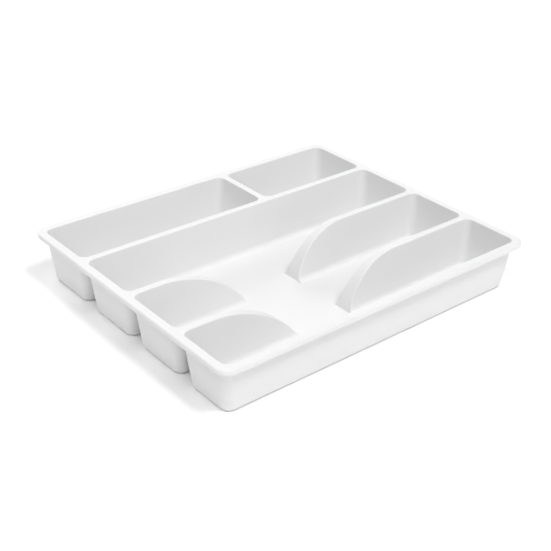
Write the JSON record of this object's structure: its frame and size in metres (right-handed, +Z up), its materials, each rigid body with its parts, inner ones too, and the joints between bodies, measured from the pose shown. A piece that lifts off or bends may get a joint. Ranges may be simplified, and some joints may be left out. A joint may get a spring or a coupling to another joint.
{
  "type": "drawer organizer tray",
  "caption": "Shallow white moulded tray with parallel rows, a parted back row, a shared open finger well and a turned-down rim.",
  "frame": {"origin": "centre of the underside, on the surface that the tray stands on", "axes": "+X along the rows to the right end, +Y from the front long side to the back, +Z up out of the openings"},
  "size_m": [0.31, 0.258, 0.0435],
  "materials": {
    "white_plastic": "satin moulded polystyrene with a soft sheen"
  },
  "bodies": {
    "root": {"rim_front": "white_plastic", "rim_back": "white_plastic", "rim_left": "white_plastic", "rim_right": "white_plastic", "left_end_row_1": "white_plastic", "left_end_row_2": "white_plastic", "left_end_row_3": "white_plastic", "left_end_row_4": "white_plastic", "right_end_row_1": "white_plastic", "right_end_row_2": "white_plastic", "right_end_row_3": "white_plastic", "right_end_row_4": "white_plastic", "front_wall": "white_plastic", "back_wall_long_bay": "white_plastic", "back_wall_short_bay": "white_plastic", "divider_row_1_2": "white_plastic", "divider_bays": "white_plastic", "divider_left_row_2_3": "white_plastic", "divider_left_row_3_4": "white_plastic", "divider_right_row_2_3": "white_plastic", "divider_right_row_3_4": "white_plastic", "floor_long_bay": "white_plastic", "floor_short_bay": "white_plastic", "floor_rows_2_3_4": "white_plastic"}
  },
  "joints": []
}
